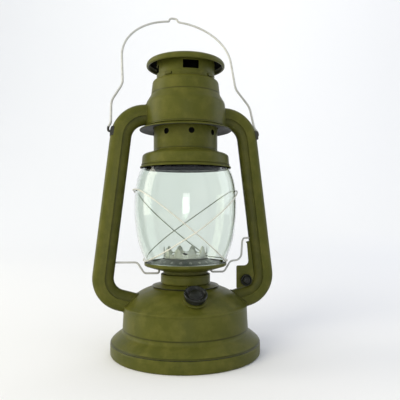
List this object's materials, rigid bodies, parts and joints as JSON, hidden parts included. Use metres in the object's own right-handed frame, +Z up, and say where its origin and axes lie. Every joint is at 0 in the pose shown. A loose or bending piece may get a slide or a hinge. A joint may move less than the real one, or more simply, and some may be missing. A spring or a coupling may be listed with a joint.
{
  "type": "oil lamp",
  "caption": "Tubular wick oil lamp: round fount, burner, glass globe in crossed guard wires, side air tubes, sliding hood and wire bail.",
  "frame": {"origin": "centre of the foot, on the surface the lamp stands on", "axes": "+Z up; -Y is the front, the filler cap side; +X is the tube with the globe lift slider"},
  "size_m": [0.1544, 0.1335, 0.3114],
  "materials": {
    "olive_paint": "satin olive enamel, slightly mottled",
    "olive_paint_dark": "satin olive enamel in shade",
    "dark_steel": "dark oiled steel",
    "black_enamel": "near black, slightly worn",
    "tinned_steel": "dull tin",
    "tin_grey": "dull grey tin",
    "guard_wire": "thin wire with a trace of olive paint",
    "bail_wire": "light galvanised wire",
    "burner_brass": "dull brass",
    "globe_glass": "clear with a pale green cast",
    "wick_cotton": "woven cotton",
    "seal_rubber": "matt black"
  },
  "bodies": {
    "frame": {"fount_shell": "olive_paint", "fount_base_ring": "olive_paint", "fount_bottom_pan": "olive_paint_dark", "collar_seat_washer": "olive_paint_dark", "fount_collar": "olive_paint", "filler_neck": "olive_paint", "burner_body": "olive_paint_dark", "burner_deck": "burner_brass", "wick_tube": "burner_brass", "left_tube_outer_shell": "olive_paint", "left_tube_inner_shell": "olive_paint_dark", "right_tube_outer_shell": "olive_paint", "right_tube_inner_shell": "olive_paint_dark", "left_bail_ear": "dark_steel", "right_bail_ear": "dark_steel", "air_chamber_drum": "olive_paint", "chamber_skirt": "olive_paint"},
    "bail": {"bail_wire": "bail_wire"},
    "filler_seal": {"filler_gasket": "seal_rubber"},
    "filler_cap": {"filler_cap": "black_enamel"},
    "globe_carrier": {"globe_plate": "olive_paint", "air_diffuser": "tin_grey", "burner_crown": "tinned_steel", "flame_cone": "burner_brass", "glass_globe": "globe_glass", "guard_wire_left": "guard_wire", "guard_wire_right": "guard_wire"},
    "hood": {"chimney_bell": "olive_paint", "globe_retainer": "dark_steel", "vent_tube": "olive_paint", "top_cap": "olive_paint"},
    "lift_wire": {"lift_wire": "bail_wire"},
    "lift_slider": {"lift_plate": "olive_paint", "lift_knob": "black_enamel"},
    "wick_winder": {"wick_shaft": "dark_steel", "wick_wheels": "burner_brass", "wick_knob": "burner_brass"},
    "wick": {"wick": "wick_cotton"}
  },
  "joints": [
    {"name": "bail_swing", "type": "hinge", "parent": "frame", "child": "bail", "pos_m": [0, 0, 0.1838], "axis": [1, 0, 0], "range_deg": [-66, 124]},
    {"name": "filler_cap_rise", "type": "slide", "parent": "frame", "child": "filler_seal", "axis": [0, -0.5299, 0.848], "range_m": [0, 0.01]},
    {"name": "filler_cap_turn", "type": "hinge", "parent": "filler_seal", "child": "filler_cap", "pos_m": [0, -0.0405, 0.0493], "axis": [0, -0.5299, 0.848], "range_deg": [0, 1440]},
    {"name": "globe_lift", "type": "slide", "parent": "frame", "child": "globe_carrier", "axis": [0, 0, 1], "range_m": [0, 0.008]},
    {"name": "hood_lift", "type": "slide", "parent": "globe_carrier", "child": "hood", "axis": [0, 0, 1], "range_m": [0, 0.0095]},
    {"name": "lift_wire_tilt", "type": "hinge", "parent": "frame", "child": "lift_wire", "pos_m": [-0.0587, 0, 0.0756], "axis": [0, -1, 0], "range_deg": [0, 5.85]},
    {"name": "lift_slide", "type": "slide", "parent": "frame", "child": "lift_slider", "axis": [-0.1219, 0, 0.9925], "range_m": [0, 0.0116]},
    {"name": "wick_knob_turn", "type": "hinge", "parent": "frame", "child": "wick_winder", "pos_m": [0.0045, 0, 0.067], "axis": [0, 1, 0], "range_deg": [0, 140]},
    {"name": "wick_raise", "type": "slide", "parent": "frame", "child": "wick", "axis": [0, 0, 1], "range_m": [0, 0.008]}
  ],
  "couplings": [
    {"joint": "filler_cap_turn", "follows": "filler_cap_rise", "rad_per_m": 2513.3},
    {"joint": "lift_wire_tilt", "follows": "globe_lift", "rad_per_m": 12.64},
    {"joint": "lift_slide", "follows": "globe_lift", "ratio": 1.44},
    {"joint": "wick_raise", "follows": "wick_knob_turn", "m_per_rad": 0.0032}
  ]
}
